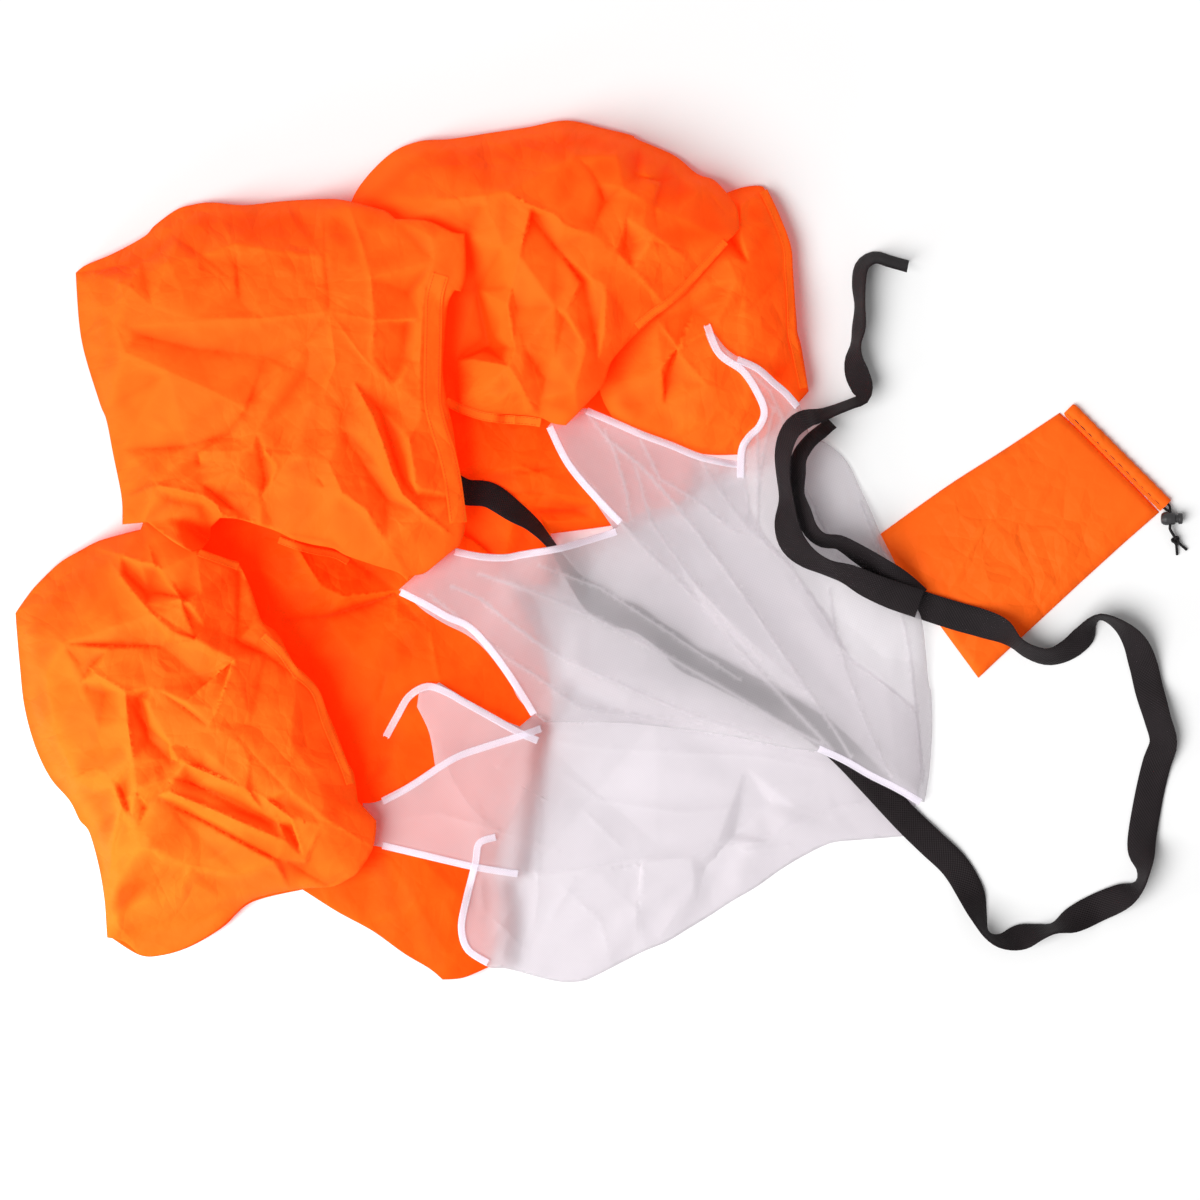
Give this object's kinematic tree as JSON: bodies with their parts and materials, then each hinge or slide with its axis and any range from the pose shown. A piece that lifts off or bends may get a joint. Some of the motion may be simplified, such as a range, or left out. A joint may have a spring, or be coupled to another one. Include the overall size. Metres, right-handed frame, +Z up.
{
  "type": "speed parachute",
  "caption": "Running resistance parachute laid flat: folded cloth canopy, sheer mesh star, webbing tow strap with waist belt, and its drawstring storage bag with a cord lock.",
  "frame": {"origin": "on the ground under the middle of the layout, with the tow strap, belt, drawcord and lock left out", "axes": "+X from the canopy towards the storage bag, +Y away from the viewer, +Z up"},
  "size_m": [1.23, 0.903, 0.1071],
  "materials": {
    "canopy_orange": "thin coated polyester, satin",
    "canopy_inside": "the same cloth in its own shade",
    "mesh_white": "sheer white mesh",
    "binding_white": "woven white tape",
    "webbing_black": "ribbed polyester webbing",
    "bag_orange": "thin polyester, satin",
    "cord_black": "braided cord",
    "lock_plastic": "moulded, slightly glossy",
    "spring_steel": "plain spring wire"
  },
  "bodies": {
    "parachute": {"canopy_lobe_upper_left": "canopy_orange", "canopy_lobe_top": "canopy_orange", "canopy_lobe_right": "canopy_orange", "canopy_lobe_lower_left": "canopy_orange", "canopy_inside_left": "canopy_inside", "canopy_inside_right": "canopy_inside", "mesh_upper_layer": "mesh_white", "mesh_lower_layer": "mesh_white", "mesh_petal_top": "mesh_white", "mesh_petal_right": "mesh_white", "mesh_petal_left": "mesh_white", "mesh_petal_inner": "mesh_white", "mesh_petal_lower_left": "mesh_white", "mesh_petal_bottom": "mesh_white", "binding_top_left": "binding_white", "binding_top_right": "binding_white", "binding_right_tail": "binding_white", "binding_right_edge": "binding_white", "binding_left_upper": "binding_white", "binding_left_lower": "binding_white", "binding_inner_tail": "binding_white", "binding_lower_left_upper": "binding_white", "binding_lower_left_lower": "binding_white", "binding_bottom_loop": "binding_white", "binding_mouth": "binding_white", "tow_strap": "webbing_black", "waist_belt_long_half": "webbing_black", "waist_belt_short_half": "webbing_black"},
    "storage_bag": {"bag_front_panel": "bag_orange", "bag_back_panel": "bag_orange", "bag_drawstring_channel": "bag_orange", "drawcord": "cord_black", "drawcord_knot": "cord_black"},
    "cord_lock": {"cord_lock_barrel": "lock_plastic", "cord_lock_spring": "spring_steel"},
    "lock_button": {"cord_lock_plunger": "lock_plastic"}
  },
  "joints": [
    {"name": "storage_bag_pull", "type": "slide", "parent": "parachute", "child": "storage_bag", "axis": [0.7815, 0.6239, 0], "range_m": [0, 0.3]},
    {"name": "cord_lock_slide", "type": "slide", "parent": "storage_bag", "child": "cord_lock", "axis": [0, -1, 0], "range_m": [0, 0.004]},
    {"name": "lock_button_press", "type": "slide", "parent": "cord_lock", "child": "lock_button", "axis": [-1, 0, 0], "range_m": [0, 0.0028], "stiffness_N_per_m": 800, "springref_m": -0.002, "deforming": ["cord_lock_spring"]}
  ]
}
